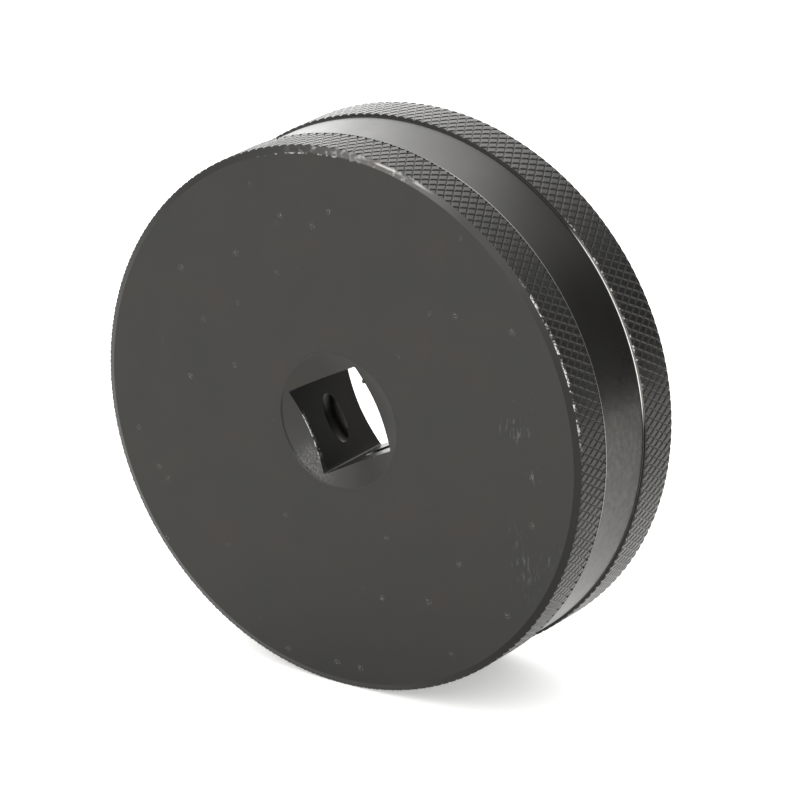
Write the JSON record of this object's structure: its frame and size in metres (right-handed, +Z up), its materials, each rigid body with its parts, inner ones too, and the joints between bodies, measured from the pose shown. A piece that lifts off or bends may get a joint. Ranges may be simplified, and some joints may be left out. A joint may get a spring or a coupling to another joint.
{
  "type": "oil filter wrench",
  "caption": "Round cap-type oil filter wrench in black steel: a shallow cup with flats inside, knurled edges and a through square drive hole in its flat face.",
  "frame": {"origin": "on the ground, under the middle of the tool as it stands on its rim", "axes": "+Y along the tool's axis from the drive face to the open mouth, +Z up, +X to the right seen from the drive face"},
  "size_m": [0.08, 0.0244, 0.08],
  "materials": {
    "black_oxide_plate": "turned steel, black oxide, matt, worn bright along the rim",
    "black_oxide_hub": "machined steel, black oxide, satin",
    "black_oxide_ring": "turned steel, black oxide, oiled satin",
    "dowel_steel": "ground steel, thin black oxide"
  },
  "bodies": {
    "root": {"drive_plate": "black_oxide_plate", "drive_hub": "black_oxide_hub", "hub_dowels": "dowel_steel", "fluted_ring": "black_oxide_ring"}
  },
  "joints": []
}
